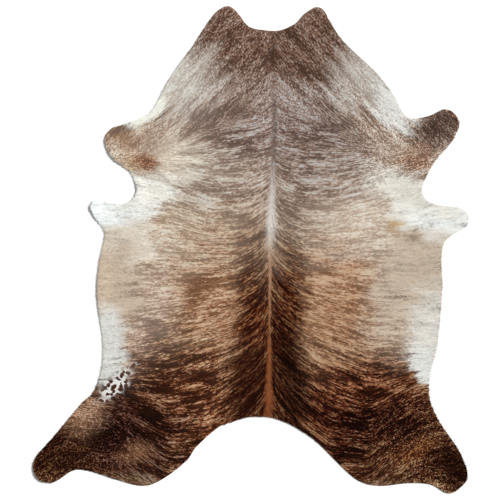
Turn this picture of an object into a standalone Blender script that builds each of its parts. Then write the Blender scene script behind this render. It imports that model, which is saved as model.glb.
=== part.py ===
"""Cowhide rug: one whole hair-on hide, lying flat with its coat up.

The hide is a single solid. Its flesh side lies on the floor at Z = 0 and its coat is the upper face.
+Y runs along the back towards the neck, +X to the right as seen from above. The origin is the middle
of the hide's box, on the floor.
"""

import math

import bpy
from mathutils import Vector
from mathutils.geometry import delaunay_2d_cdt

# Driving dimensions, in metres.
HIDE_LENGTH = 2.254  # from the tip of the left neck lobe to the toe of the right hind leg
SKIN = 0.0022  # the tanned skin alone
COAT = 0.0028  # the flat-lying hair on top of it, along the sides of the back
EDGE_STEP = 0.028  # spacing of the points around the edge
FIELD_STEP = 0.060  # spacing of the points inside it
FIELD_MARGIN = 0.030  # the least distance from those points to the edge
FIELD_REACH = 1.2  # how far their columns go, in half widths, since the spine is off the middle

# The edge and the spine are charted in thousandths of a metre for a hide of this length.
CHART_LENGTH = 2254
CHART = HIDE_LENGTH / CHART_LENGTH

# The edge, anticlockwise from the neck: each feature with its landmarks as (across, along).
EDGE = (
    ("neck notch", ((135, 1015), (60, 1016), (-10, 1033))),
    ("left neck lobe", ((-65, 1100), (-105, 1127), (-155, 1105))),
    ("left neck", ((-275, 935), (-335, 855), (-395, 760), (-455, 650))),
    ("left shoulder", ((-495, 620), (-605, 575))),
    ("left front leg", ((-645, 562), (-677, 512), (-645, 433), (-555, 352))),
    ("left armpit", ((-527, 280), (-540, 240), (-595, 210))),
    ("left flank flap", ((-715, 230), (-741, 204), (-715, 140))),
    ("left belly", ((-678, 85), (-700, -60), (-710, -205), (-684, -440), (-694, -570))),
    ("left hip", ((-735, -670), (-770, -700))),
    ("left shank", ((-925, -880), (-990, -955))),
    ("left hind foot", ((-1008, -1000), (-985, -1063), (-915, -1077), (-810, -1020))),
    ("left thigh", ((-665, -1050), (-625, -1065), (-475, -1092), (-290, -970))),
    ("left buttock", ((-262, -925), (-135, -814))),
    ("tail root", ((-75, -794), (-20, -776), (85, -776), (180, -808))),
    ("right buttock", ((285, -875), (500, -1072))),
    ("right thigh", ((595, -1094), (730, -1082), (830, -1088))),
    ("right hind foot", ((920, -1127), (1000, -1060))),
    ("right shank", ((972, -950), (865, -785))),
    ("right hip", ((825, -685), (830, -570), (860, -455))),
    ("right belly", ((884, -190), (893, 30))),
    ("right flank flap", ((1000, 115), (1008, 145), (995, 175), (960, 193))),
    ("right armpit", ((830, 216), (790, 265), (843, 395))),
    ("right front leg", ((938, 515), (963, 590), (927, 642), (895, 650), (820, 618))),
    ("right shoulder", ((727, 613), (660, 715))),
    ("right neck", ((585, 815), (415, 980))),
    ("right neck lobe", ((352, 1080), (335, 1111), (305, 1123), (240, 1085), (213, 1053))),
)

# The line of the spine, from the rump to the neck: station, across, along.
SPINE = (
    ("tail root", 82, -776),
    ("loin", 86, -300),
    ("mid back", 90, 40),
    ("withers", 106, 420),
    ("neck", 100, 1016),
)

# How much coat there is at each distance from the spine, as a share of COAT. The hair parts on the
# spine, stands fullest beside it and is finest towards the belly.
COAT_PROFILE = (
    ("parting", 0.000, 0.70),
    ("crest", 0.045, 1.15),
    ("back", 0.150, 1.00),
    ("flank", 0.480, 0.90),
    ("belly", 0.900, 0.75),
)
EDGE_COAT = 0.55  # share of the coat left at the very edge
EDGE_ROLL = 0.050  # width over which it comes down to that

# Stretches of edge that stand off the floor: place, across, along, reach, height, in chart units.
LIFTS = (
    ("left front leg", -640, 440, 130, 5),
    ("left armpit", -540, 270, 90, 4),
    ("left flank flap", -735, 195, 100, 6),
    ("left belly", -705, -180, 220, 3),
    ("left hind foot", -985, -1040, 130, 4),
    ("right flank flap", 1005, 135, 90, 4),
    ("right hind foot", 955, -1105, 120, 4),
    ("neck lobe", -110, 1120, 110, 3),
)
LIFT_DEPTH = 0.090  # how far in from the edge a lift reaches


def mix(a, b, t):
    return a + (b - a) * t


def smooth_step(t):
    t = min(max(t, 0.0), 1.0)
    return t * t * (3.0 - 2.0 * t)


def curve_span(before, start, end, after, count):
    """Points from start towards end on a smooth curve that also passes through its neighbours."""
    knots = [0.0]
    for a, b in ((before, start), (start, end), (end, after)):
        knots.append(knots[-1] + math.sqrt((b - a).length))
    points = []
    for step in range(count):
        t = mix(knots[1], knots[2], step / count)
        first = before.lerp(start, t / knots[1])
        second = start.lerp(end, (t - knots[1]) / (knots[2] - knots[1]))
        third = end.lerp(after, (t - knots[2]) / (knots[3] - knots[2]))
        low = first.lerp(second, t / knots[2])
        high = second.lerp(third, (t - knots[1]) / (knots[3] - knots[1]))
        points.append(low.lerp(high, (t - knots[1]) / (knots[2] - knots[1])))
    return points


def edge_points():
    """The edge as a closed ring of evenly spaced points."""
    marks = [Vector(mark) * CHART for _, marks in EDGE for mark in marks]
    ring = []
    for i, start in enumerate(marks):
        end = marks[(i + 1) % len(marks)]
        after = marks[(i + 2) % len(marks)]
        count = max(1, round((end - start).length / EDGE_STEP))
        ring += curve_span(marks[i - 1], start, end, after, count)
    return ring


def distance_to_edge(point, ring):
    """How far the point is inside the ring. It is negative outside."""
    nearest = math.inf
    inside = False
    for a, b in zip(ring, ring[1:] + ring[:1]):
        along = b - a
        t = min(max((point - a).dot(along) / along.length_squared, 0.0), 1.0)
        nearest = min(nearest, (a + along * t - point).length)
        if (a.y > point.y) != (b.y > point.y):
            if point.x < a.x + along.x * (point.y - a.y) / along.y:
                inside = not inside
    return nearest if inside else -nearest


def spine_x(y):
    """Where the spine is at this place along the hide."""
    for (_, x0, y0), (_, x1, y1) in zip(SPINE, SPINE[1:]):
        if y <= y1 * CHART:
            break
    return mix(x0, x1, smooth_step((y / CHART - y0) / (y1 - y0))) * CHART


def field_points(ring):
    """Points inside the edge: rows across the hide, with columns closer together at the spine."""
    top = max(point.y for point in ring)
    bottom = min(point.y for point in ring)
    reach = max(abs(point.x) for point in ring) * FIELD_REACH
    crest = COAT_PROFILE[1][1]
    rows = int((top - bottom) / FIELD_STEP)
    columns = int(reach / FIELD_STEP) + 1
    points = []
    for row in range(1, rows + 1):
        y = bottom + row * FIELD_STEP
        stagger = 0.5 * (row % 2)
        offsets = [0.0]
        for column in range(columns):
            offset = crest + (column + stagger) * FIELD_STEP
            offsets += [offset, -offset]
        for offset in offsets:
            point = Vector((spine_x(y) + offset, y))
            if distance_to_edge(point, ring) > FIELD_MARGIN:
                points.append(point)
    return points


def coat_share(point, inset):
    """The coat at this point as a share of COAT."""
    away = abs(point.x - spine_x(point.y))
    share = COAT_PROFILE[-1][2]
    for (_, near, near_share), (_, far, far_share) in zip(COAT_PROFILE, COAT_PROFILE[1:]):
        if away <= far:
            share = mix(near_share, far_share, smooth_step((away - near) / (far - near)))
            break
    return mix(min(EDGE_COAT, share), share, smooth_step(inset / EDGE_ROLL))


def lift(point, inset):
    """How far the flesh side stands off the floor at this point."""
    height = 0.0
    for _, x, y, reach, rise in LIFTS:
        away = (point - Vector((x, y)) * CHART).length / (reach * CHART)
        height = max(height, rise * CHART * (1.0 - smooth_step(away)))
    return height * (1.0 - smooth_step(inset / LIFT_DEPTH))


def hair_material():
    """Short brindle hair, seen from a distance as one brown."""
    material = bpy.data.materials.new("brindle_hair_hide")
    material.use_nodes = True
    shader = material.node_tree.nodes["Principled BSDF"]
    shader.inputs["Base Color"].default_value = (0.270, 0.165, 0.105, 1.0)
    shader.inputs["Roughness"].default_value = 0.75
    shader.inputs["Metallic"].default_value = 0.0
    return material


def hide(collection):
    """The flesh side as an open surface, thickened upwards by the skin and the coat."""
    ring = edge_points()
    flat = ring + field_points(ring)
    outline = list(range(len(ring)))
    inside_only = 1
    merge = 1e-6
    points, _, faces, *_ = delaunay_2d_cdt(flat, [], [outline], inside_only, merge)
    insets = [max(distance_to_edge(point, ring), 0.0) for point in points]
    rests = [Vector((point.x, point.y, lift(point, inset))) for point, inset in zip(points, insets)]

    mesh = bpy.data.meshes.new("hide")
    mesh.from_pydata(rests, [], faces)
    mesh.shade_smooth()
    body = bpy.data.objects.new("hide", mesh)
    collection.objects.link(body)
    mesh.materials.append(hair_material())

    thickest = SKIN + COAT * max(share for _, _, share in COAT_PROFILE)
    fullness = body.vertex_groups.new(name="fullness")
    for i, (point, inset) in enumerate(zip(points, insets)):
        thickness = SKIN + COAT * coat_share(point, inset)
        fullness.add([i], thickness / thickest, "REPLACE")
    layer = body.modifiers.new("skin and coat", "SOLIDIFY")
    layer.thickness = thickest
    layer.offset = 1.0
    layer.vertex_group = fullness.name
    return body


def main():
    for thing in list(bpy.data.objects):
        bpy.data.objects.remove(thing, do_unlink=True)
    collection = bpy.data.collections.new("cowhide_rug")
    bpy.context.scene.collection.children.link(collection)
    hide(collection)


main()
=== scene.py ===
"""Cowhide rug: the finish of its coat, skin and cut edge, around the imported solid.

The hide is one closed sheet: suede flesh side below, cut edge, and a thin undercoat on top. The coat
over it is short flat locks of hair that follow the way the hair grows, coloured by the brindle
markings. Units are metres unless a table says otherwise; +Y runs along the back to the neck.
"""

import bpy
import numpy as np
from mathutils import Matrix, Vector
from mathutils.bvhtree import BVHTree
from mathutils.geometry import delaunay_2d_cdt


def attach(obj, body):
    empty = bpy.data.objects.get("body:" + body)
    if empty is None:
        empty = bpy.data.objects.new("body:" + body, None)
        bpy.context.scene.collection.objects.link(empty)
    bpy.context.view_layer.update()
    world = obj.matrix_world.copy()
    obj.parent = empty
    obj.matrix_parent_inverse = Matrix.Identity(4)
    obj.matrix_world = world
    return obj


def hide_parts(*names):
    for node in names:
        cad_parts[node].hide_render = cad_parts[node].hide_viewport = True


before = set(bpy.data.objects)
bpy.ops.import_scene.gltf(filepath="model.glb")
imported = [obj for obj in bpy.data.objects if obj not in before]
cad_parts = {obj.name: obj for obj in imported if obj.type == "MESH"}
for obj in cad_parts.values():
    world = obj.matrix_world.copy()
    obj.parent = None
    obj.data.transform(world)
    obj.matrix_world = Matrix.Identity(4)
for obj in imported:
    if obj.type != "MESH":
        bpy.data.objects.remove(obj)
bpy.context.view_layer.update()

MM = 0.001

# Hide and coat, in metres.
SKIN_THICK = 2.2 * MM
UNDERCOAT = 0.7 * MM  # how far the dense hair roots stand above the skin
TOP_STEP = 11 * MM  # spacing of the upper face's points
TOP_MARGIN = 0.55  # the least distance from them to the edge, in steps
FLESH_STEP = 42 * MM  # spacing of the flesh side's points
FLESH_MARGIN = 0.4  # the least distance from them to the edge, in steps
ROW_STEP = 0.866  # height of a triangle with even sides of 1
RING_SPLITS = 3  # points of the smooth edge for each point of the solid's edge
EDGE_INSET = 1.5 * MM  # how far the upper face stops inside the cut edge
EDGE_UNDERCOAT = 0.4  # share of the undercoat that is left there
EDGE_BATCH = 2000  # how many points are measured from the edge at a time
MERGE = 1e-6  # points closer than this are one point
FACES_DOWN = -0.5  # a face looks down if its normal falls by more than this

# The cut edge from the flesh side up: part, how far inside the outline, how far up.
CUT_EDGE = (
    ("flesh corner", 0.25 * MM, 0.6 * MM),
    ("middle of the cut", 0.0, 1.3 * MM),
    ("hair corner", 0.4 * MM, SKIN_THICK),
)

# One lock of hair: a few hundred hairs that lie together.
LOCK_LENGTH = 23 * MM
LOCK_WIDTH = 3.5 * MM
LOCK_HEIGHT = 0.35 * MM
LOCK_LENGTHS = (0.7, 1.25)  # shortest and longest, as shares of LOCK_LENGTH
LOCK_WIDTHS = (0.7, 1.3)  # narrowest and widest, as shares of LOCK_WIDTH
LOCK_BASE = 0.577  # radius of a base that has three sides of 1
LOCK_PITCH = 3.05 * MM  # least distance between the roots of two locks
ROOTS_TRIED = 4.0  # how many roots are tried in each square of that side
LOCK_RISE = 0.06  # how much a lock climbs for each metre of its length
LOCK_SWAY = 0.10  # how far locks stray from the lay of the coat
LOCK_STRAY = ((-1.0, -1.0, -0.25), (1.0, 1.0, 0.35))  # how far each way, in LOCK_SWAY
SHORTER = 0.4  # how much shorter the locks are where the brindle is grainy
EDGE_OVERHANG = 4 * MM  # how far the last hairs reach past the cut edge
LEAST_OUTWARD = 0.12  # hair that heads for the edge less than this counts as this
LEAST_ROOM = 0.3  # share of its length that a lock keeps at the edge

# The camera looks straight down on the photographed field.
FRAME_WIDTH = 2.315
FRAME_CENTRE = (-0.0046, -0.0023)
CAMERA_HEIGHT = 12.0
SENSOR = 36.0

# The line of the spine, from the rump to the neck: station, across, along, in millimetres.
SPINE = (
    ("tail root", 82, -775),
    ("loin", 86, -300),
    ("mid back", 90, 40),
    ("withers", 106, 420),
    ("crop", 109, 645),
    ("neck", 100, 1015),
)

# How the hair lines run. Each line leaves the spine at its station and has dropped this far towards
# the tail, in millimetres, at each of these distances from the spine. Station, height, drops.
LAY_AT = (0, 45, 140, 280, 465, 695, 925, 1110)
LAY_NECK = (  # alike on both sides
    ("poll", 1065, (0, 55, 155, 305, 500, 695, 905, 1065)),
    ("neck", 785, (0, 50, 140, 255, 370, 465, 555, 650)),
    ("crest", 645, (0, 25, 45, 65, 155, 280, 370, 445)),
)
LAY_LEFT = (
    *LAY_NECK,
    ("withers", 485, (0, 20, 35, 55, 55, 65, 100, 140)),
    ("ribs", 370, (0, 35, 75, 85, 30, -20, -10, 20)),
    ("mid back", 205, (0, 55, 110, 110, 45, 20, 30, 45)),
    ("back", 45, (0, 65, 120, 130, 140, 140, 140, 140)),
    ("loin", -235, (0, 70, 140, 185, 240, 285, 325, 350)),
    ("croup", -420, (0, 75, 155, 230, 270, 230, 215, 230)),
    ("rump", -605, (0, 75, 175, 285, 305, 165, 120, 155)),
    ("tail root", -790, (0, 65, 175, 305, 305, 120, 95, 215)),
    ("thigh", -975, (0, 65, 175, 280, 280, 140, 140, 280)),
)
LAY_RIGHT = (
    *LAY_NECK,
    ("withers", 485, (0, 20, 35, 45, 35, 10, 0, 0)),
    ("ribs", 370, (0, 30, 55, 55, 0, -55, -75, -65)),
    ("mid back", 205, (0, 55, 100, 100, 55, 30, 10, 20)),
    ("back", 45, (0, 65, 120, 140, 155, 165, 155, 150)),
    ("loin", -235, (0, 75, 150, 210, 285, 275, 290, 320)),
    ("croup", -420, (0, 85, 175, 275, 330, 190, 155, 195)),
    ("rump", -605, (0, 85, 195, 305, 325, 165, 110, 155)),
    ("tail root", -790, (0, 75, 195, 325, 305, 100, 65, 185)),
    ("thigh", -975, (0, 75, 185, 285, 270, 120, 120, 260)),
)
LAY_LOW, LAY_HIGH, LAY_OUT = -1.6, 1.4, 1.3  # what the chart of the lay covers, in metres
LAY_GRID = 0.01  # its spacing
LAY_SMOOTHING = (28, 7)  # how often it is smoothed along the spine and away from it
LAY_ROUNDS = 30  # how many rounds find the hair line of a point

# The ground that the markings lie on: light hair, dark hair, share of dark hair.
GROUND = ("flank", "#bdac8c", "#31190e", 0.68)

# Markings as soft ovals laid one over another, in millimetres and degrees: place, across, along, half
# width, half length, turn, softness, light hair, dark hair, share of dark hair, cover.
PATCHES = (
    ("left flank", -365, 10, 355, 440, -17, 0.88, "#dbd3c3", "#a38e7a", 0.44, 1.0),
    ("right flank", 515, 100, 350, 440, -9, 0.88, "#e2ddd1", "#b29f8d", 0.44, 1.0),
    ("left ribs", -205, 380, 330, 150, 6, 0.54, "#cfcec6", "#8a7a6d", 0.44, 0.9),
    ("right ribs", 260, 320, 330, 120, 9, 0.79, "#c7c2bc", "#735f53", 0.44, 0.9),
    ("neck", 115, 880, 645, 350, -8, 0.23, "#b2a69c", "#473329", 0.68, 1.0),
    ("shoulders", 135, 575, 735, 175, -11, 0.75, "#bcb9b8", "#5e4c45", 0.44, 1.0),
    ("crop", 210, 710, 220, 40, 7, 0.88, "#cacac9", "#6a5851", 0.76, 0.8),
    ("left crop", -135, 660, 140, 90, 30, 0.54, "#bdb1a5", "#604f46", 0.84, 0.7),
    ("left neck edge", -340, 765, 180, 130, 35, 0.85, "#d6d9d4", "#aaa096", 0.44, 0.95),
    ("right neck edge", 535, 815, 115, 185, -32, 0.85, "#d8dbd8", "#a89d94", 0.44, 0.95),
    ("left leg", -510, 520, 250, 145, -18, 0.65, "#dcdcd0", "#8b7869", 0.46, 1.0),
    ("left leg ring", -400, 395, 130, 95, 10, 0.88, "#f3eddb", "#c7bead", 0.6, 0.9),
    ("left leg rust", -500, 410, 70, 40, -25, 0.7, "#e0c49e", "#745646", 0.44, 0.95),
    ("left leg edge", -605, 540, 110, 45, -32, 0.88, "#a5825a", "#795e48", 0.84, 0.95),
    ("left leg speckle", -480, 490, 100, 60, -14, 0.84, "#c8bcad", "#846d5c", 0.84, 0.6),
    ("left leg lower", -505, 365, 85, 45, -7, 0.77, "#d0b989", "#6f5a4b", 0.84, 0.7),
    ("right leg", 725, 530, 265, 185, -33, 0.49, "#dfdbd0", "#756155", 0.44, 1.0),
    ("right leg black", 845, 565, 95, 75, -5, 0.8, "#94827b", "#3c2f29", 0.84, 1.0),
    ("right leg inner", 735, 360, 95, 90, -17, 0.88, "#c5b180", "#7e6556", 0.84, 0.8),
    ("left inner flank", -165, -255, 180, 260, 2, 0.76, "#caae93", "#6e4b33", 0.44, 0.95),
    ("right inner flank", 385, -270, 235, 255, 16, 0.8, "#cdab8b", "#77533a", 0.44, 0.95),
    ("left mauve flank", -525, -360, 115, 235, -15, 0.8, "#d9cec0", "#957f70", 0.44, 0.95),
    ("right mauve flank", 680, -360, 165, 155, -30, 0.59, "#d8cebc", "#9c8673", 0.44, 0.9),
    ("left rump", -285, -675, 310, 225, -30, 0.7, "#c5a583", "#32190e", 0.84, 1.0),
    ("right rump", 445, -725, 315, 230, 22, 0.7, "#bf9470", "#2a1109", 0.6, 1.0),
    ("left back", 20, -330, 85, 375, 0, 0.65, "#9f7b54", "#270e07", 0.84, 1.0),
    ("right back", 145, -345, 90, 375, -3, 0.7, "#a78359", "#280d06", 0.84, 1.0),
    ("left loin", -15, -600, 95, 175, -9, 0.37, "#62452b", "#1d0905", 0.84, 0.9),
    ("right loin", 185, -625, 70, 305, 9, 0.67, "#4e2c1c", "#110603", 0.84, 0.9),
    ("right orange", 370, -825, 150, 90, 11, 0.88, "#814924", "#1a0704", 0.84, 0.85),
    ("left thigh", -595, -865, 295, 215, -30, 0.7, "#826661", "#120604", 0.84, 1.0),
    ("right thigh", 630, -865, 275, 195, -2, 0.7, "#a28464", "#140604", 0.84, 1.0),
    ("left thigh pale", -520, -945, 80, 50, 7, 0.71, "#a5886b", "#43291a", 0.44, 0.85),
    ("left thigh hem", -525, -1080, 145, 30, -8, 0.88, "#a89e8e", "#4e3a2a", 0.44, 0.8),
    ("right thigh pale", 615, -1015, 120, 85, -30, 0.3, "#a18d74", "#281309", 0.76, 0.85),
    ("right thigh hem", 535, -1090, 160, 15, 0, 0.76, "#9c897b", "#5b4433", 0.44, 0.5),
    ("right thigh tan", 750, -935, 120, 40, 28, 0.71, "#a88053", "#381b0e", 0.84, 0.8),
    ("left shank", -840, -790, 60, 120, 46, 0.3, "#c4a78d", "#6a4c38", 0.44, 0.95),
    ("left hip", -730, -740, 75, 65, 38, 0.88, "#d9c0a8", "#745641", 0.44, 0.7),
    ("left foot", -875, -960, 185, 140, -12, 0.67, "#6a502f", "#140604", 0.84, 0.95),
    ("right foot", 945, -1010, 130, 80, -56, 0.51, "#492617", "#110502", 0.84, 0.95),
    ("right leg end", 745, 395, 90, 60, 35, 0.35, "#e5cdbc", "#725a4b", 0.84, 1.0),
    ("left leg top", -610, 565, 70, 30, 14, 0.5, "#9e8b77", "#655349", 0.84, 1.0),
    ("left leg rust point", -470, 395, 50, 40, -35, 0.5, "#dcc0a0", "#6a4a3c", 0.7, 1.0),
)

# Plain markings without brindle, over the others, in the same first columns, and their hair.
PLAIN = (
    ("left tan", -565, 30, 120, 135, 11, 0.53, "#dbd2c3"),
    ("right tan", 690, 125, 55, 40, 18, 0.7, "#c3a57c"),
    ("left belly", -640, -175, 130, 200, -4, 0.67, "#c4b29d"),
    ("right belly", 775, -95, 130, 270, -28, 0.78, "#c9b9a5"),
    ("right neck white", 675, 685, 115, 90, -28, 0.73, "#e3e2dc"),
    ("left neck white", -470, 635, 90, 35, 30, 0.7, "#e3e3d9"),
    ("left flap", -625, 225, 195, 90, 8, 0.45, "#e9eeed"),
    ("left armpit", -485, 260, 125, 70, 8, 1.0, "#eae7de"),
    ("right flap", 875, 185, 185, 125, 0, 0.4, "#eef1ee"),
    ("right armpit", 755, 250, 185, 70, -23, 1.0, "#e2ded3"),
    ("left belly white", -655, -430, 75, 170, 3, 0.68, "#d7d7d1"),
    ("right belly white", 835, -390, 110, 175, 0, 0.6, "#dfdbd3"),
    ("right hip white", 800, -540, 50, 80, 20, 0.6, "#e2e3dd"),
)

# Darker and paler strokes: place, from across, along, to across, along, half width, change.
STROKES = (
    ("left lobe brown", -135, 1070, -90, 970, 40, 0.2),
    ("right lobe pale", 250, 1050, 320, 1090, 40, -0.15),
    ("neck left dark", 30, 940, 90, 885, 25, 0.55),
    ("neck left band", -90, 870, 25, 840, 25, 0.25),
    ("neck notch dark", 145, 1045, 255, 950, 30, 0.3),
    ("neck right band", 180, 850, 345, 805, 25, 0.4),
    ("neck right pale", 125, 750, 225, 700, 30, -0.35),
    ("neck right paler", 300, 765, 405, 675, 35, -0.3),
    ("neck left pale", -235, 710, -115, 730, 35, -0.2),
    ("crop left band", -255, 620, -5, 635, 20, 0.35),
    ("crop left pale", -105, 580, -5, 565, 20, -0.3),
    ("right shoulder arch", 310, 565, 435, 585, 25, 0.6),
    ("right shoulder arch end", 435, 585, 530, 470, 25, 0.35),
    ("right shoulder pale", 225, 610, 345, 625, 20, -0.3),
    ("right shoulder low pale", 365, 505, 470, 450, 20, -0.25),
    ("left shoulder arch", -275, 555, -210, 625, 15, 0.35),
    ("left shoulder low", -305, 540, -165, 580, 15, 0.25),
    ("withers left dark", -170, 505, -5, 480, 20, 0.3),
    ("withers right dark", 210, 505, 365, 490, 20, 0.3),
    ("left ribs dark", -215, 305, -30, 265, 25, 0.45),
    ("left ribs pale", -280, 360, -105, 340, 20, -0.3),
    ("left ribs low pale", -215, 230, -50, 200, 20, -0.25),
    ("left ribs dark low", -135, 175, 25, 125, 20, 0.35),
    ("right ribs dark", 250, 360, 410, 340, 25, 0.4),
    ("right ribs dark two", 210, 275, 365, 275, 20, 0.4),
    ("right ribs pale", 255, 315, 440, 305, 15, -0.3),
    ("right ribs dark low", 170, 190, 345, 200, 20, 0.35),
    ("left flank dark", -280, -105, -70, -85, 20, 0.34),
    ("left flank dark low", -275, -160, -50, -150, 20, 0.34),
    ("left flank blotch", -275, -215, -220, -235, 20, 0.25),
    ("left flank pale", -385, -180, -310, -235, 30, -0.3),
    ("left mauve dark", -525, -315, -430, -375, 30, 0.35),
    ("right flank dark", 225, -60, 365, -105, 20, 0.3),
    ("left rump band", -385, -465, -275, -500, 20, 0.45),
    ("left rump band two", -470, -515, -330, -540, 20, 0.4),
    ("left rump band three", -300, -575, -155, -595, 20, 0.35),
    ("left rump band four", -320, -665, -170, -695, 20, 0.4),
    ("left rump pale", -300, -625, -170, -640, 15, -0.35),
    ("left rump low pale", -300, -735, -160, -770, 20, -0.3),
    ("left thigh band", -525, -545, -355, -665, 20, 0.4),
    ("left thigh band two", -565, -660, -385, -855, 30, 0.4),
    ("left thigh pale band", -470, -680, -340, -790, 15, -0.3),
    ("left thigh blotch", -745, -865, -625, -845, 35, 0.3),
    ("left thigh low band", -485, -880, -365, -910, 25, 0.3),
    ("left leg rust", -500, 425, -420, 385, 25, 0.2),
    ("right leg tip", 875, 625, 920, 580, 30, 0.35),
    ("right rump pale", 255, -475, 410, -520, 30, -0.25),
    ("right rump band", 300, -575, 470, -605, 15, 0.3),
    ("right thigh band", 550, -565, 725, -625, 25, 0.25),
    ("right thigh band two", 525, -650, 655, -695, 20, 0.35),
    ("right thigh pale band", 530, -620, 680, -650, 15, -0.3),
    ("right thigh blotch", 595, -790, 775, -825, 35, 0.25),
    ("right rump low band", 410, -825, 580, -790, 20, 0.3),
    ("right buttock band", 345, -895, 495, -965, 25, 0.3),
    ("right orange", 210, -790, 345, -865, 30, -0.35),
)

# The stripe along the spine: station, height, half width in millimetres, hair, cover.
STRIPE = (
    ("neck notch", 1015, 9, "#2c1a10", 0.3),
    ("neck", 935, 11, "#2a1810", 0.3),
    ("nape", 815, 7, "#33201a", 0.12),
    ("nape pale", 750, 7, "#5b463a", 0.25),
    ("crest", 665, 10, "#2c1c16", 0.38),
    ("withers", 440, 9, "#33201a", 0.55),
    ("upper start", 385, 10, "#a79c96", 0.5),
    ("upper white", 275, 19, "#cfc9c2", 0.8),
    ("white", 110, 23, "#d9d4cc", 0.92),
    ("white end", 35, 16, "#c9b9ab", 0.8),
    ("pale line", -30, 8, "#c0987f", 0.8),
    ("mid line", -235, 6, "#b8835f", 0.75),
    ("line end", -375, 6, "#b0774c", 0.7),
    ("rust", -465, 9, "#a5633a", 0.6),
    ("rust wide", -675, 17, "#a05c36", 0.6),
    ("tail root", -775, 17, "#945530", 0.45),
)
STRIPE_SOFT = (0.3, 1.7)  # where it is full and where it ends, in half widths
STRIPE_FRAY = 0.55  # how far the brindle frays its edge

# Ground speckled with dark spots: place, across, along, half width, half length, turn, softness.
SPECKLED = (
    ("left hip", -615, -625, 105, 35, 45, 0.3),
)

# Where the brindle is grainy instead of lined, in the same columns.
GRAINY = (
    ("neck", 80, 915, 600, 335, 0, 0.3),
    ("left front leg", -560, 505, 240, 195, 0, 0.4),
    ("right front leg", 745, 505, 305, 215, -20, 0.4),
    ("left hind leg", -790, -930, 345, 195, 35, 0.35),
    ("right hind leg", 830, -950, 280, 210, -45, 0.35),
)

SPOT_PITCH = 23.0  # millimetres between the spots
SPOT_SHIFT = 30.0  # how far unevenness pushes them about, in millimetres
SPOT_SIZE = (0.36, 0.46)  # where a spot is full and where it ends, in pitches
SPOT_HAIR = "#46291d"
SPOT_GROUND = "#dfdcd8"

# How soon red, green and blue go as the hair darkens: blue first and red last, so that the hair
# between light and dark is rust.
PIGMENT_ORDER = (1.4, 1.0, 0.85)

# Unevenness that frays the edges of the markings: name, length along the hair and width across it in
# millimetres, seed, share.
FRAY = (
    ("tongues", 150, 34, 3, 0.9),
    ("tufts", 60, 15, 5, 0.8),
)
MOTTLE_GRID = 61  # levels on each side before the unevenness repeats
PATCH_FRAY = 0.32  # how far it pushes an oval's rim
STROKE_FRAY = 0.35  # how far it thins or thickens a stroke
SHARE_LIMITS = (-0.4, 1.15)  # least and most dark hair that the markings may ask for

# The brindle, as noise drawn out along the hair: name, length and width in millimetres, detail, weight
# where the hair lies in lines, weight where it is grainy.
STREAKS = (
    ("bands", 150, 34, 3.0, 2.1, 1.6),
    ("lines", 110, 8, 1.0, 2.2, 0.4),
    ("streaks", 40, 7, 2.0, 1.9, 1.2),
    ("wisps", 14, 4, 2.0, 2.6, 2.4),
    ("grain", 6, 6, 1.0, 0.4, 3.2),
)
STREAK_ROUGHNESS = 0.6  # how strong the fine part of each noise is
SIDE_STEP = 7.3  # how far apart the two sides lie in the noise, so that they differ
PLAIN_FRAY = 0.95  # how far the brindle frays the edge of a plain marking
PLAIN_GAIN = 1.6  # how full a plain marking is
PLAIN_EDGE = (0.1, 0.95)  # where plain hair begins and where there is no other
LEAST_COVER = 0.01  # keeps the colour from being divided by nothing
PLAIN_TONES = (1.09, 0.88)  # how bright its light and its dark hair are
LOCK_CHANGE = 0.9  # how far single locks stray towards dark or light hair
TONE_RANGE = (0.90, 1.10)  # how dark and how light single locks are in themselves
UNDERCOAT_SHADE_TONE = 0.6  # where the undercoat lies between those, from 0 to 1: past the middle, so it has more dark hair than the average lock, as painted shade under the locks

# What the coat tells the hair at each point, and as what.
COAT_TELLS = (
    ("lay", "Vector"),
    ("tone", "Fac"),
    ("grainy", "Fac"),
    ("dark_share", "Fac"),
    ("light_hair", "Color"),
    ("dark_hair", "Color"),
    ("plain", "Fac"),
    ("plain_hair", "Color"),
    ("speckle", "Fac"),
    ("stripe", "Vector"),
    ("stripe_hair", "Color"),
)

# The flesh side, whose clouds and nap are this long from one to the next.
SUEDE_CLOUDS = 90 * MM
SUEDE_NAP = 2.2 * MM
SUEDE_PALE = "#d8ccba"
SUEDE_DEEP = "#b9a78f"
FIBRE = "#e4dbcc"
FIBRE_SHOWS = (0.5, 0.75)  # how raised the nap is where fibres begin to show and where most do
FIBRE_SHARE = 0.5  # how much of their colour shows there

# The two materials of the sheet, and where its map has them: the coat side on the left half, and the
# flesh side and the cut edge this far to the right of it.
HAIR, FLESH = 0, 1
COAT_MAP = (0.0, 0.495)
FLESH_MAP = 0.505
MAP_RIM = 0.001

# Floor and light.
FLOOR_SIZE = 14.0
FLOOR_WHITE = (0.94, 0.94, 0.94, 1.0)
FLOOR_DROP = 0.3 * MM  # how far the floor is under the hide, so that they don't share a plane
SKY = 0.31  # how bright the white surroundings are
KEY = 5.25  # how strong the light is
KEY_SPREAD = 6.0  # degrees across the light as the hide sees it
KEY_FROM = (1.0, 0.55, 0.68)  # the way towards it

# The coat is made in five parts, which meet without a seam: name, from and to along, from and to across.
NECK_FROM = 0.50
REAR_TO = -0.42
MIDDLE = 0.09
FAR = 2.0  # a place past the hide
ZONES = (
    ("coat_neck", NECK_FROM, FAR, -FAR, FAR),
    ("coat_left_side", REAR_TO, NECK_FROM, -FAR, MIDDLE),
    ("coat_right_side", REAR_TO, NECK_FROM, MIDDLE, FAR),
    ("coat_left_rear", -FAR, REAR_TO, -FAR, MIDDLE),
    ("coat_right_rear", -FAR, REAR_TO, MIDDLE, FAR),
)

# The nodes that are used most.
MATH = "ShaderNodeMath"
VECTOR_MATH = "ShaderNodeVectorMath"
MAP_RANGE = "ShaderNodeMapRange"
MIX = "ShaderNodeMix"


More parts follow.
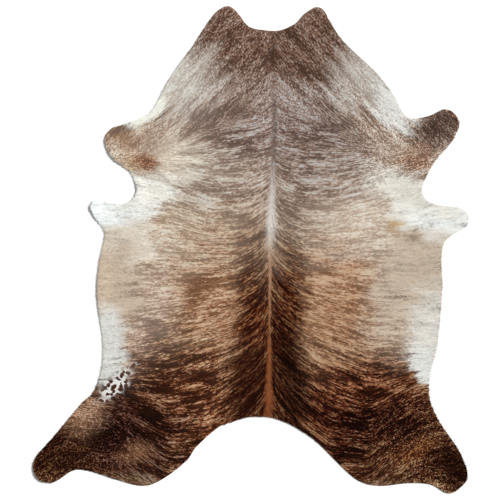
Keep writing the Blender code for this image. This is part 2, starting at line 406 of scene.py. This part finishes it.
def smooth_step(t):
    """0 below 0, 1 above 1, and an easy curve between them."""
    t = np.clip(t, 0.0, 1.0)
    return t * t * (3.0 - 2.0 * t)


def linear(hex_colour):
    """An sRGB hex colour as linear red, green and blue."""
    shown = np.array([int(hex_colour[i : i + 2], 16) for i in (1, 3, 5)]) / 255
    return np.where(shown <= 0.04045, shown / 12.92, ((shown + 0.055) / 1.055) ** 2.4)


def add(tree, kind, links=(), **settings):
    """Adds a node with its settings and gives its outputs. The links give inputs a source or a value."""
    node = tree.nodes.new(kind)
    for name, value in settings.items():
        setattr(node, name, value)
    for socket, source in dict(links).items():
        if isinstance(source, bpy.types.NodeSocket):
            tree.links.new(source, node.inputs[socket])
        else:
            node.inputs[socket].default_value = source
    return node.outputs


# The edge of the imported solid, and flat meshes inside it.


def solid_faces(node):
    """The solid's corners, merged, and its triangles."""
    points = np.array([vertex.co[:] for vertex in node.data.vertices])
    _, first, index = np.unique(np.round(points, 6), axis=0, return_index=True, return_inverse=True)
    node.data.calc_loop_triangles()
    faces = np.array([triangle.vertices[:] for triangle in node.data.loop_triangles])
    return points[first], index.reshape(-1)[faces]


def ring_area(ring):
    """The area inside the ring. It is negative where the ring runs clockwise."""
    turned = np.roll(ring, -1, 0)
    return 0.5 * np.sum(ring[:, 0] * turned[:, 1] - turned[:, 0] * ring[:, 1])


def edge_ring(points, faces):
    """The edge of the flesh side, anticlockwise as seen from above."""
    corners = points[faces]
    normals = np.cross(corners[:, 1] - corners[:, 0], corners[:, 2] - corners[:, 0])
    under = faces[normals[:, 2] < FACES_DOWN * np.linalg.norm(normals, axis=1)]
    sides = {(a, b) for face in under for a, b in zip(face, np.roll(face, -1))}
    onward = {a: b for a, b in sides if (b, a) not in sides}
    ring = [next(iter(onward))]
    while onward[ring[-1]] != ring[0]:
        ring.append(onward[ring[-1]])
    ring = points[ring][:, :2]
    return ring if ring_area(ring) > 0 else ring[::-1]


def smoothed_ring(ring, splits):
    """The ring with its corners rounded and more points, which still pass through the old ones."""
    before = np.roll(ring, 1, 0)
    after = np.roll(ring, -1, 0)
    second = np.roll(ring, -2, 0)
    parts = []
    for step in range(splits):
        t = step / splits
        bend = (2 * before - 5 * ring + 4 * after - second) * t**2
        twist = (3 * ring - before - 3 * after + second) * t**3
        parts.append(0.5 * (2 * ring + (after - before) * t + bend + twist))
    return np.stack(parts, 1).reshape(-1, 2)


def to_edge(points, ring):
    """For each point: how far it is inside the ring, negative outside, and the way to the edge."""
    along = np.roll(ring, -1, 0) - ring
    inset = np.empty(len(points))
    way = np.empty((len(points), 2))
    for low in range(0, len(points), EDGE_BATCH):
        batch = slice(low, low + EDGE_BATCH)
        some = points[batch]
        x, y = some[:, :1], some[:, 1:]
        gap = some[:, None] - ring
        t = np.clip((gap * along).sum(-1) / (along**2).sum(-1), 0.0, 1.0)
        away = t[..., None] * along - gap
        reach = np.hypot(away[..., 0], away[..., 1])
        nearest = (np.arange(len(some)), reach.argmin(1))
        crosses = (ring[:, 1] > y) != ((ring + along)[:, 1] > y)
        with np.errstate(divide="ignore", invalid="ignore"):
            at = ring[:, 0] + along[:, 0] * (y - ring[:, 1]) / along[:, 1]
        inside = (crosses & (x < at)).sum(1) % 2 == 1
        inset[batch] = np.where(inside, 1.0, -1.0) * reach[nearest]
        way[batch] = away[nearest] / np.maximum(reach[nearest], MERGE)[:, None]
    return inset, way


def flat_mesh(ring, step, margin):
    """Points and faces that fill the ring, with a grid inside it that moves half a step every row."""
    low, high = ring.min(0), ring.max(0)
    grid = []
    for row, y in enumerate(np.arange(low[1] + step / 2, high[1], step * ROW_STEP)):
        stagger = 0.25 + 0.5 * (row % 2)
        grid += [(x, y) for x in np.arange(low[0] + step * stagger, high[0], step)]
    grid = np.array(grid)
    grid = grid[to_edge(grid, ring)[0] > step * margin]
    flat = [Vector(point) for point in np.concatenate([ring, grid])]
    outline = list(range(len(ring)))
    inside_only = 1
    points, _, faces, *_ = delaunay_2d_cdt(flat, [], [outline], inside_only, MERGE)
    return np.array([point[:] for point in points]), np.array(faces)


# How the coat lies.


def lay_chart(rows):
    """How far the hair lines have dropped, on an even grid of spine height and distance from it."""
    heights = np.arange(LAY_LOW, LAY_HIGH, LAY_GRID)
    aways = np.arange(0.0, LAY_OUT, LAY_GRID)
    stations = sorted((height * MM, drops) for _, height, drops in rows)
    at = np.array(LAY_AT) * MM
    drops = np.array([np.interp(aways, at, np.array(row) * MM) for _, row in stations])
    chart = np.array([np.interp(heights, [h for h, _ in stations], column) for column in drops.T]).T
    along_spine, outward = LAY_SMOOTHING
    for _ in range(along_spine):
        padded = np.concatenate([chart[:1], chart, chart[-1:]])
        chart = (padded[:-2] + 2 * padded[1:-1] + padded[2:]) / 4
    for _ in range(outward):
        padded = np.concatenate([-chart[:, 1:2], chart, 2 * chart[:, -1:] - chart[:, -2:-1]], 1)
        chart = (padded[:, :-2] + 2 * padded[:, 1:-1] + padded[:, 2:]) / 4
    return chart


def read_chart(chart, height, away):
    """What the chart says between its points. Past its ends it is read just inside them."""
    row = np.clip((height - LAY_LOW) / LAY_GRID, 0, chart.shape[0] - 1.001)
    column = np.clip(away / LAY_GRID, 0, chart.shape[1] - 1.001)
    r, c = row.astype(int), column.astype(int)
    fr, fc = row - r, column - c
    low = chart[r, c] * (1 - fc) + chart[r, c + 1] * fc
    high = chart[r + 1, c] * (1 - fc) + chart[r + 1, c + 1] * fc
    return low * (1 - fr) + high * fr


def lay_of(points):
    """Each point's distance from the spine, the height where its hair line leaves it, side and lay."""
    heights = np.array([height for _, _, height in SPINE]) * MM
    acrosses = np.array([across for _, across, _ in SPINE]) * MM
    spine = np.interp(points[:, 1], heights, acrosses)
    side = np.where(points[:, 0] < spine, -1.0, 1.0)
    away = np.abs(points[:, 0] - spine)
    height = np.empty(len(points))
    slope = np.empty(len(points))
    for sign, rows in ((-1.0, LAY_LEFT), (1.0, LAY_RIGHT)):
        chart = lay_chart(rows)
        here = side == sign
        u, y = away[here], points[here, 1]
        v = y.copy()
        for _ in range(LAY_ROUNDS):
            v = 0.5 * v + 0.5 * (y + read_chart(chart, v, u))
        height[here] = v
        slope[here] = (read_chart(chart, v, u + LAY_GRID) - read_chart(chart, v, u)) / LAY_GRID
    lay = np.stack([side, -slope, np.zeros(len(points))], 1)
    lay /= np.linalg.norm(lay, axis=1)[:, None]
    return away, height, side, lay


# The markings.


def mottle(a, b, seed):
    """Smooth unevenness from -1 to 1, from random levels on an endless grid with a step of 1."""
    levels = np.random.default_rng(seed).uniform(-1.0, 1.0, (MOTTLE_GRID, MOTTLE_GRID))
    column, row = np.floor(a).astype(int), np.floor(b).astype(int)
    across, along = smooth_step(a - column), smooth_step(b - row)
    near, far = column % MOTTLE_GRID, (column + 1) % MOTTLE_GRID
    low, high = row % MOTTLE_GRID, (row + 1) % MOTTLE_GRID
    below = levels[near, low] * (1 - across) + levels[far, low] * across
    above = levels[near, high] * (1 - across) + levels[far, high] * across
    return below * (1 - along) + above * along


def wander(u, v, side):
    """A slow unevenness that follows the hair lines, to fray the edges of the markings."""
    total = np.zeros(len(u))
    for _, long_mm, wide_mm, seed, share in FRAY:
        total += share * mottle(side * u / (long_mm * MM), v / (wide_mm * MM), seed)
    return total


def patch_share(points, fray, x, y, half_x, half_y, turn, soft):
    """How much of a soft oval covers each point."""
    turn = np.radians(turn)
    across = points[:, 0] - x * MM
    along = points[:, 1] - y * MM
    a = (across * np.cos(turn) + along * np.sin(turn)) / (half_x * MM)
    b = (along * np.cos(turn) - across * np.sin(turn)) / (half_y * MM)
    return smooth_step((1.0 + soft - np.hypot(a, b) + PATCH_FRAY * fray) / (2.0 * soft))


def stroke_share(points, fray, start, end, width):
    """How much of a soft line covers each point."""
    start, end = np.array(start) * MM, np.array(end) * MM
    along = end - start
    t = np.clip((points - start) @ along / (along @ along), 0.0, 1.0)
    away = np.linalg.norm(points - start - t[:, None] * along, axis=1)
    return smooth_step(1.0 - 0.5 * away / (width * MM) + STROKE_FRAY * fray)


def most_of(table, points, fray):
    """How much of the fullest of these ovals covers each point."""
    return np.max([patch_share(points, fray, *place) for _, *place in table], axis=0)


def markings(points, fray):
    """Each point's light hair, dark hair and share of dark hair."""
    _, ground_light, ground_dark, ground_share = GROUND
    light = np.tile(linear(ground_light), (len(points), 1))
    dark = np.tile(linear(ground_dark), (len(points), 1))
    share = np.full(len(points), ground_share)
    for _, *place, light_hair, dark_hair, amount, cover in PATCHES:
        w = cover * patch_share(points, fray, *place)
        light += (linear(light_hair) - light) * w[:, None]
        dark += (linear(dark_hair) - dark) * w[:, None]
        share += (amount - share) * w
    for _, x0, y0, x1, y1, width, change in STROKES:
        share += change * stroke_share(points, fray, (x0, y0), (x1, y1), width)
    return light, dark, np.clip(share, *SHARE_LIMITS)


def plain_markings(points, fray):
    """How much of each point is plain, without brindle, and the colour of its hair."""
    bare = np.ones(len(points))
    colour = np.zeros((len(points), 3))
    for _, *place, hair in PLAIN:
        w = patch_share(points, fray, *place)
        bare *= 1.0 - w
        colour += (linear(hair) - colour) * w[:, None]
    cover = 1.0 - bare
    return cover, colour / np.maximum(cover, LEAST_COVER)[:, None]


def spine_stripe(v):
    """The stripe's half width, its cover and its hair colour at each height of the spine."""
    rows = sorted(STRIPE, key=lambda row: row[1])
    at = [height * MM for _, height, *_ in rows]
    half = np.interp(v, at, [width * MM for _, _, width, _, _ in rows])
    cover = np.interp(v, at, [cover for *_, cover in rows])
    colours = np.array([linear(hair) for _, _, _, hair, _ in rows])
    colour = np.stack([np.interp(v, at, colours[:, i]) for i in range(3)], 1)
    return half, cover, colour


# Materials.


def brindle_streaks(tree, known):
    """The streaks of the brindle, and how dark they make the hair, from 0 to 1."""
    own = {0: known["tone"], 1: LOCK_CHANGE, 2: -0.5 * LOCK_CHANGE}
    total = add(tree, MATH, own, operation="MULTIPLY_ADD")[0]
    for _, long_mm, wide_mm, detail, lined_weight, grain_weight in STREAKS:
        scale = (1 / (long_mm * MM), 1 / (wide_mm * MM), SIDE_STEP)
        spot = add(tree, VECTOR_MATH, {0: known["lay"], 1: scale}, operation="MULTIPLY")[0]
        drawn = {"Vector": spot, "Scale": 1.0, "Detail": detail, "Roughness": STREAK_ROUGHNESS}
        noise = add(tree, "ShaderNodeTexNoise", drawn)["Fac"]
        level = add(tree, MATH, {0: noise, 1: 0.5}, operation="SUBTRACT")[0]
        change = {0: known["grainy"], 1: grain_weight - lined_weight, 2: lined_weight}
        weight = add(tree, MATH, change, operation="MULTIPLY_ADD")[0]
        total = add(tree, MATH, {0: level, 1: weight, 2: total}, operation="MULTIPLY_ADD")[0]
    dark = add(tree, MATH, {0: total, 1: known["dark_share"]}, operation="ADD", use_clamp=True)[0]
    return total, dark


def brindle_colour(tree, known, dark):
    """Light hair that darkens as pigment takes light away, so the hair between is warmer."""
    pigment = {0: known["dark_hair"], 1: known["light_hair"]}
    pigment = add(tree, VECTOR_MATH, pigment, operation="DIVIDE")[0]
    amounts = add(tree, VECTOR_MATH, {0: dark, 1: PIGMENT_ORDER}, operation="POWER")[0]
    left = add(tree, VECTOR_MATH, {0: pigment, 1: amounts}, operation="POWER")[0]
    return add(tree, VECTOR_MATH, {0: known["light_hair"], 1: left}, operation="MULTIPLY")[0]


def with_plain_hair(tree, known, colour, total, dark):
    """White and tan hair over the brindle, frayed by it."""
    frayed = add(tree, MATH, {0: total, 1: -PLAIN_FRAY, 2: PLAIN_GAIN}, operation="MULTIPLY_ADD")[0]
    plain = add(tree, MATH, {0: known["plain"], 1: frayed}, operation="MULTIPLY")[0]
    begins, full = PLAIN_EDGE
    plain = add(tree, MAP_RANGE, {0: plain, 1: begins, 2: full})[0]
    tone = add(tree, MAP_RANGE, {0: dark, 3: PLAIN_TONES[0], 4: PLAIN_TONES[1]})[0]
    toned = add(tree, VECTOR_MATH, {0: known["plain_hair"], 3: tone}, operation="SCALE")[0]
    return add(tree, MIX, {0: plain, 6: colour, 7: toned}, data_type="RGBA")[2]


def with_spots(tree, known, colour):
    """Dark spots on white hair, where the coat is speckled."""
    place = add(tree, "ShaderNodeTexCoord")["Object"]
    pushed = add(tree, "ShaderNodeTexNoise", {"Vector": place, "Scale": 1 / (SPOT_PITCH * MM)})["Color"]
    shift = {0: pushed, 1: (SPOT_SHIFT * MM,) * 3, 2: place}
    place = add(tree, VECTOR_MATH, shift, operation="MULTIPLY_ADD")[0]
    spots = {"Vector": place, "Scale": 1 / (SPOT_PITCH * MM), "Randomness": 1.0}
    spots = add(tree, "ShaderNodeTexVoronoi", spots, voronoi_dimensions="2D")["Distance"]
    full, end = SPOT_SIZE
    on_spot = add(tree, MAP_RANGE, {0: spots, 1: end, 2: full})[0]
    mix = {0: on_spot, 6: (*linear(SPOT_GROUND), 1.0), 7: (*linear(SPOT_HAIR), 1.0)}
    speckled = add(tree, MIX, mix, data_type="RGBA")[2]
    return add(tree, MIX, {0: known["speckle"], 6: colour, 7: speckled}, data_type="RGBA")[2]


def with_stripe(tree, known, colour, total):
    """The stripe along the spine, with its edge frayed by the brindle."""
    half, cover, _ = add(tree, "ShaderNodeSeparateXYZ", {0: known["stripe"]})
    away, _, _ = add(tree, "ShaderNodeSeparateXYZ", {0: known["lay"]})
    reach = add(tree, MATH, {0: away, 1: half}, operation="DIVIDE")[0]
    frayed = add(tree, MATH, {0: total, 1: STRIPE_FRAY, 2: reach}, operation="MULTIPLY_ADD")[0]
    full, end = STRIPE_SOFT
    shown = add(tree, MAP_RANGE, {0: frayed, 1: end, 2: full}, interpolation_type="SMOOTHSTEP")[0]
    amount = add(tree, MATH, {0: shown, 1: cover}, operation="MULTIPLY")[0]
    return add(tree, MIX, {0: amount, 6: colour, 7: known["stripe_hair"]}, data_type="RGBA")[2]


def new_material(name, look):
    """A material with these settings, its node tree and the inputs of its surface."""
    material = bpy.data.materials.new(name)
    material.use_nodes = True
    surface = material.node_tree.nodes["Principled BSDF"].inputs
    for setting, value in look.items():
        surface[setting].default_value = value
    return material, material.node_tree, surface


def brindle_hair():
    """Cattle hair, short and straight: a soft broad gloss, each lock a little lighter or darker."""
    look = {"Roughness": 0.62, "IOR": 1.45, "Specular IOR Level": 0.02}
    material, tree, surface = new_material("brindle_hair", look)
    known = {}
    for name, part in COAT_TELLS:
        known[name] = add(tree, "ShaderNodeAttribute", attribute_name=name)[part]
    total, dark = brindle_streaks(tree, known)
    colour = brindle_colour(tree, known, dark)
    colour = with_plain_hair(tree, known, colour, total, dark)
    colour = with_spots(tree, known, colour)
    colour = with_stripe(tree, known, colour, total)
    bright = add(tree, MAP_RANGE, {0: known["tone"], 3: TONE_RANGE[0], 4: TONE_RANGE[1]})[0]
    shade = add(tree, VECTOR_MATH, {0: colour, 3: bright}, operation="SCALE")[0]
    tree.links.new(shade, surface["Base Color"])
    return material


def flesh_suede():
    """Chrome-tanned flesh side, buffed: a pale, matt nap with faint clouds and fine fibres."""
    look = {"Roughness": 0.93, "Specular IOR Level": 0.2, "Sheen Weight": 0.15}
    material, tree, surface = new_material("buffed_flesh_suede", look)
    place = add(tree, "ShaderNodeTexCoord")["Object"]
    clouds = {"Vector": place, "Scale": 1 / SUEDE_CLOUDS, "Detail": 4.0}
    clouds = add(tree, "ShaderNodeTexNoise", clouds)["Fac"]
    nap = {"Vector": place, "Scale": 1 / SUEDE_NAP, "Detail": 3.0, "Roughness": 0.7}
    nap = add(tree, "ShaderNodeTexNoise", nap)["Fac"]
    mix = {0: clouds, 6: (*linear(SUEDE_PALE), 1.0), 7: (*linear(SUEDE_DEEP), 1.0)}
    base = add(tree, MIX, mix, data_type="RGBA")[2]
    begins, most = FIBRE_SHOWS
    raised = add(tree, MAP_RANGE, {0: nap, 1: begins, 2: most, 4: FIBRE_SHARE})[0]
    worn = add(tree, MIX, {0: raised, 6: base, 7: (*linear(FIBRE), 1.0)}, data_type="RGBA")[2]
    tree.links.new(worn, surface["Base Color"])
    bump = add(tree, "ShaderNodeBump", {"Height": nap, "Strength": 0.5, "Distance": 0.4 * MM})[0]
    tree.links.new(bump, surface["Normal"])
    return material


def floor_white():
    """Plain white studio floor, matt."""
    look = {"Base Color": FLOOR_WHITE, "Roughness": 0.9, "Specular IOR Level": 0.0}
    return new_material("studio_floor", look)[0]


# Pieces.


def put(name, data):
    """Puts a mesh, a light or a camera into the scene."""
    item = bpy.data.objects.new(name, data)
    bpy.context.scene.collection.objects.link(item)
    return item


def give(mesh, name, kind, values):
    """Stores one value for each vertex, under a name that the materials read."""
    layer = mesh.attributes.new(name, kind, "POINT")
    if kind == "FLOAT_COLOR":
        values = np.concatenate([values, np.ones((len(values), 1))], 1)
    field = {"FLOAT": "value", "FLOAT_VECTOR": "vector", "FLOAT_COLOR": "color"}[kind]
    layer.data.foreach_set(field, np.asarray(values, np.float32).ravel())


def coat_facts(points, ring):
    """All that the coat needs to know at each of these points, by name, each with its kind."""
    u, v, side, lay = lay_of(points)
    inset, way = to_edge(points, ring)
    outward = (lay[:, :2] * way).sum(1)
    room = (np.maximum(inset, 0.0) + EDGE_OVERHANG) / np.maximum(outward, LEAST_OUTWARD)
    fray = wander(u, v, side)
    light, dark, share = markings(points, fray)
    plain, plain_hair = plain_markings(points, fray)
    grainy = most_of(GRAINY, points, fray)
    half, cover, stripe_hair = spine_stripe(v)
    return {
        "lay": ("FLOAT_VECTOR", np.stack([u, v, side], 1)),
        "hair_way": ("FLOAT_VECTOR", lay),
        "room": ("FLOAT", np.clip(room / LOCK_LENGTH, LEAST_ROOM, 1.0 - SHORTER * grainy)),
        "light_hair": ("FLOAT_COLOR", light),
        "dark_hair": ("FLOAT_COLOR", dark),
        "dark_share": ("FLOAT", share),
        "stripe": ("FLOAT_VECTOR", np.stack([half, cover, 0 * half], 1)),
        "stripe_hair": ("FLOAT_COLOR", stripe_hair),
        "plain": ("FLOAT", plain),
        "plain_hair": ("FLOAT_COLOR", plain_hair),
        "speckle": ("FLOAT", most_of(SPECKLED, points, fray)),
        "grainy": ("FLOAT", grainy),
        # The undercoat's tone leans towards dark hair, as painted shade under the locks.
        "tone": ("FLOAT", np.full(len(points), UNDERCOAT_SHADE_TONE)),
    }


def read(items, field, width=1, kind=np.int32):
    """One field of all these items, with a row for each."""
    values = np.empty(len(items) * width, kind)
    items.foreach_get(field, values)
    return values.reshape(-1, width)


def map_from_above(mesh, low, high, across=(0.0, 1.0)):
    """Lays the mesh out on its map as it is seen from above."""
    layer = mesh.uv_layers.new(name="OFBake")
    points = read(mesh.vertices, "co", 3, np.float32)
    corner = read(mesh.loops, "vertex_index")[:, 0]
    place = (points[corner, :2] - low) / (high - low)
    place[:, 0] = across[0] + (across[1] - across[0]) * place[:, 0]
    place = np.clip(place, MAP_RIM, 1.0 - MAP_RIM)
    layer.data.foreach_set("uv", place.astype(np.float32).ravel())
    return layer


def sheet_map(mesh, low, high):
    """The sheet's map: its coat side on the left half and its flesh side and edge on the right."""
    layer = map_from_above(mesh, low, high, COAT_MAP)
    uv = read(layer.data, "uv", 2, np.float32)
    slots = read(mesh.polygons, "material_index")[:, 0]
    corners = read(mesh.polygons, "loop_total")[:, 0]
    uv[np.repeat(slots, corners) == FLESH, 0] += FLESH_MAP
    layer.data.foreach_set("uv", uv.ravel())


def hide_sheet(ring, floor_gap):
    """The skin with its undercoat: one closed sheet as it lies. Also gives the ground of the coat."""
    top, top_faces = flat_mesh(ring, TOP_STEP, TOP_MARGIN)
    flesh, flesh_faces = flat_mesh(ring, FLESH_STEP, FLESH_MARGIN)
    count = len(ring)
    forward = np.roll(ring, -1, 0) - np.roll(ring, 1, 0)
    normal = np.stack([forward[:, 1], -forward[:, 0]], 1)
    normal /= np.linalg.norm(normal, axis=1)[:, None]

    # The ring comes first among the points of both faces.
    rise_top = floor_gap(top) + SKIN_THICK + UNDERCOAT
    rise_top[:count] -= UNDERCOAT * (1.0 - EDGE_UNDERCOAT)
    top[:count] -= normal * EDGE_INSET
    upper = np.column_stack([top, rise_top])
    under = np.column_stack([flesh, floor_gap(flesh)])
    levels = []
    for _, inset, rise in CUT_EDGE:
        levels.append(np.column_stack([ring - normal * inset, under[:count, 2] + rise]))
    points = np.concatenate([upper, under, *levels])

    first_flesh = len(upper)
    first_level = first_flesh + len(under)
    faces = [*top_faces.tolist(), *(first_flesh + flesh_faces[:, ::-1]).tolist()]
    rings = [first_flesh, *(first_level + count * i for i in range(len(levels))), 0]
    for low, high in zip(rings, rings[1:]):
        for i in range(count):
            j = (i + 1) % count
            faces.append((low + i, low + j, high + j, high + i))
    mesh = bpy.data.meshes.new("hide_sheet")
    mesh.from_pydata(points.tolist(), [], faces)
    slots = np.full(len(faces), FLESH, np.int32)
    slots[: len(top_faces)] = HAIR
    slots[-count:] = HAIR
    mesh.polygons.foreach_set("material_index", slots)
    mesh.shade_smooth()
    sheet = put("hide_sheet", mesh)
    facts = coat_facts(points[:, :2], ring)
    for name, (kind, values) in facts.items():
        give(mesh, name, kind, values)
    on_top = {name: (kind, values[:first_flesh]) for name, (kind, values) in facts.items()}
    return sheet, (upper, top_faces, on_top)


def lock_tree(material):
    """Hair locks on a surface, laid the way its hair_way says. Returns the tree and its inputs."""
    tree = bpy.data.node_groups.new("hair_locks", "GeometryNodeTree")
    tree.is_modifier = True
    inputs = {}
    tree.interface.new_socket("Geometry", in_out="INPUT", socket_type="NodeSocketGeometry")
    for name, kind, value in (
        ("Lock length", "Float", LOCK_LENGTH),
        ("Lock width", "Float", LOCK_WIDTH),
        ("Lock height", "Float", LOCK_HEIGHT),
        ("Root pitch", "Float", LOCK_PITCH),
        ("Rise", "Float", LOCK_RISE),
        ("Sway", "Float", LOCK_SWAY),
        ("Seed", "Int", 1),
    ):
        socket = tree.interface.new_socket(name, in_out="INPUT", socket_type="NodeSocket" + kind)
        socket.default_value = value
        inputs[name] = socket.identifier
    tree.interface.new_socket("Geometry", in_out="OUTPUT", socket_type="NodeSocketGeometry")
    given = add(tree, "NodeGroupInput")

    # What the surface and the locks carry, and what is drawn anew for each lock.
    known = {}
    for name, kind in (
        ("hair_way", "FLOAT_VECTOR"),
        ("room", "FLOAT"),
        ("lay", "FLOAT_VECTOR"),
        ("along", "FLOAT"),
        ("reach", "FLOAT"),
    ):
        node = add(tree, "GeometryNodeInputNamedAttribute", {"Name": name}, data_type=kind)
        known[name] = node["Attribute"]
    drawn = {}
    for name, kind, (low, high), seed, (least, most, out) in (
        ("tone", "FLOAT", (0.0, 1.0), 11, (2, 3, 1)),
        ("stray", "FLOAT_VECTOR", LOCK_STRAY, 12, (0, 1, 0)),
        ("length", "FLOAT", LOCK_LENGTHS, 13, (2, 3, 1)),
        ("width", "FLOAT", LOCK_WIDTHS, 14, (2, 3, 1)),
    ):
        links = {least: low, most: high, "Seed": seed}
        drawn[name] = add(tree, "FunctionNodeRandomValue", links, data_type=kind)[out]

    # Each lock leans the way its hair lies, a little upwards, and strays from it a little.
    sway = add(tree, VECTOR_MATH, {0: drawn["stray"], 3: given["Sway"]}, operation="SCALE")[0]
    climb = add(tree, "ShaderNodeCombineXYZ", {2: given["Rise"]})[0]
    way = add(tree, VECTOR_MATH, {0: known["hair_way"], 1: climb}, operation="ADD")[0]
    way = add(tree, VECTOR_MATH, {0: way, 1: sway}, operation="ADD")[0]
    turn = "FunctionNodeAlignRotationToVector"
    lean = add(tree, turn, {"Vector": way}, axis="X", pivot_axis="AUTO")[0]
    level = add(tree, turn, {"Rotation": lean, "Vector": (0.0, 0.0, 1.0)}, axis="Z", pivot_axis="X")[0]

    # It is shorter where the edge is near and where the brindle is grainy.
    long = add(tree, MATH, {0: given["Lock length"], 1: drawn["length"]}, operation="MULTIPLY")[0]
    long = add(tree, MATH, {0: long, 1: known["room"]}, operation="MULTIPLY")[0]
    wide = add(tree, MATH, {0: given["Lock width"], 1: drawn["width"]}, operation="MULTIPLY")[0]
    size = add(tree, "ShaderNodeCombineXYZ", {0: long, 1: wide, 2: given["Lock height"]})[0]
    outward = add(tree, "ShaderNodeSeparateXYZ", {0: known["hair_way"]})[0]
    outward = add(tree, MATH, {0: outward}, operation="ABSOLUTE")[0]
    reach = add(tree, MATH, {0: long, 1: outward}, operation="MULTIPLY")[0]

    roots = {
        "Mesh": given["Geometry"],
        "Distance Min": given["Root pitch"],
        "Density Max": ROOTS_TRIED / LOCK_PITCH**2,
        "Seed": given["Seed"],
    }
    roots = add(tree, "GeometryNodeDistributePointsOnFaces", roots, distribute_method="POISSON")
    store = "GeometryNodeStoreNamedAttribute"
    placed = roots["Points"]
    for name, value in (("tone", drawn["tone"]), ("reach", reach)):
        links = {"Geometry": placed, "Name": name, "Value": value}
        placed = add(tree, store, links, data_type="FLOAT", domain="POINT")[0]

    # One lock is a cone with three sides, which stands from 0 to 1 and is then laid down.
    cone = {"Vertices": 3, "Radius Top": 0.0, "Radius Bottom": LOCK_BASE, "Depth": 1.0}
    cone = add(tree, "GeometryNodeMeshCone", cone, fill_type="NGON")["Mesh"]
    place = add(tree, "GeometryNodeInputPosition")[0]
    up = add(tree, "ShaderNodeSeparateXYZ", {0: place})[2]
    cone = {"Geometry": cone, "Name": "along", "Value": up}
    cone = add(tree, store, cone, data_type="FLOAT", domain="POINT")[0]
    lying = {"Geometry": cone, "Rotation": (0.0, -np.pi / 2, np.pi)}
    lying = add(tree, "GeometryNodeTransform", lying)[0]
    locks = {"Points": placed, "Instance": lying, "Rotation": level, "Scale": size}
    locks = add(tree, "GeometryNodeInstanceOnPoints", locks)[0]
    locks = add(tree, "GeometryNodeRealizeInstances", {0: locks})[0]

    # The brindle runs on along each lock, so a lock is not one flat colour.
    further = add(tree, MATH, {0: known["along"], 1: known["reach"]}, operation="MULTIPLY")[0]
    further = add(tree, "ShaderNodeCombineXYZ", {0: further})[0]
    onward = add(tree, VECTOR_MATH, {0: known["lay"], 1: further}, operation="ADD")[0]
    locks = {"Geometry": locks, "Name": "lay", "Value": onward}
    locks = add(tree, store, locks, data_type="FLOAT_VECTOR", domain="POINT")[0]
    locks = add(tree, "GeometryNodeSetShadeSmooth", {"Geometry": locks, "Shade Smooth": False})[0]
    locks = add(tree, "GeometryNodeSetMaterial", {"Geometry": locks, "Material": material})[0]
    add(tree, "NodeGroupOutput", {0: locks})
    return tree, inputs


def coat_piece(name, zone, coat_ground, tree, inputs, seed):
    """The locks that grow on one zone of the upper face, as one plain mesh."""
    points, faces, facts = coat_ground
    x, y, _ = points[faces].mean(1).T
    rear, front, left, right = zone
    faces = faces[(y > rear) & (y <= front) & (x > left) & (x <= right)]
    used, index = np.unique(faces, return_inverse=True)
    mesh = bpy.data.meshes.new(name + "_ground")
    mesh.from_pydata(points[used].tolist(), [], index.reshape(faces.shape).tolist())
    for fact, (kind, values) in facts.items():
        give(mesh, fact, kind, values[used])
    ground = put(name + "_ground", mesh)
    growth = ground.modifiers.new("locks", "NODES")
    growth.node_group = tree
    growth[inputs["Seed"]] = seed
    grown = ground.evaluated_get(bpy.context.evaluated_depsgraph_get())
    locks = bpy.data.meshes.new_from_object(grown)
    locks.name = name
    bpy.data.objects.remove(ground, do_unlink=True)
    for fact in ("hair_way", "room", "along", "reach"):
        locks.attributes.remove(locks.attributes[fact])
    low, high = points[used, :2].min(0) - LOCK_LENGTH, points[used, :2].max(0) + LOCK_LENGTH
    map_from_above(locks, low, high)
    return put(name, locks)


def studio():
    """Plain floor, even white surroundings and one soft light from the upper right."""
    bpy.ops.mesh.primitive_plane_add(size=FLOOR_SIZE, location=(0, 0, -FLOOR_DROP))
    floor = bpy.context.object
    floor.name = "floor"
    floor.data.materials.append(floor_white())
    world = bpy.data.worlds.new("studio")
    bpy.context.scene.world = world
    world.use_nodes = True
    background = world.node_tree.nodes["Background"]
    background.inputs["Color"].default_value = (1.0, 1.0, 1.0, 1.0)
    background.inputs["Strength"].default_value = SKY
    sun = bpy.data.lights.new("key", "SUN")
    sun.energy = KEY
    sun.angle = np.radians(KEY_SPREAD)
    put("key", sun).rotation_euler = Vector(KEY_FROM).to_track_quat("Z", "Y").to_euler()
    bpy.context.scene.view_settings.view_transform = "Standard"


def camera():
    """Straight above the hide with a long lens."""
    lens = bpy.data.cameras.new("above")
    lens.sensor_width = SENSOR
    lens.lens = SENSOR * CAMERA_HEIGHT / FRAME_WIDTH
    lens.clip_end = 50.0
    seen_from = put("above", lens)
    seen_from.location = (*FRAME_CENTRE, CAMERA_HEIGHT)
    bpy.context.scene.camera = seen_from


def main():
    camera()
    studio()
    points, faces = solid_faces(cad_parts["hide"])
    ring = smoothed_ring(edge_ring(points, faces), RING_SPLITS)
    solid = BVHTree.FromPolygons([Vector(point) for point in points], faces.tolist())

    def floor_gap(places):
        """How far the solid's flesh side stands off the floor at each place."""
        gaps = []
        for x, y in places:
            hit = solid.ray_cast(Vector((x, y, -1.0)), Vector((0.0, 0.0, 1.0)))[0]
            if hit is None:
                hit = solid.find_nearest(Vector((x, y, 0.0)))[0]
            gaps.append(hit.z)
        return np.array(gaps)

    hair = brindle_hair()
    sheet, coat_ground = hide_sheet(ring, floor_gap)
    sheet.data.materials.append(hair)
    sheet.data.materials.append(flesh_suede())
    low, high = ring.min(0), ring.max(0)
    sheet_map(sheet.data, low, high)

    tree, inputs = lock_tree(hair)
    pieces = []
    for seed, (name, *zone) in enumerate(ZONES, 1):
        pieces.append(coat_piece(name, zone, coat_ground, tree, inputs, seed))

    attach(sheet, "root")
    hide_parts("hide")
    for piece in pieces:
        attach(piece, "root")
    float(ring_area(ring))


main()
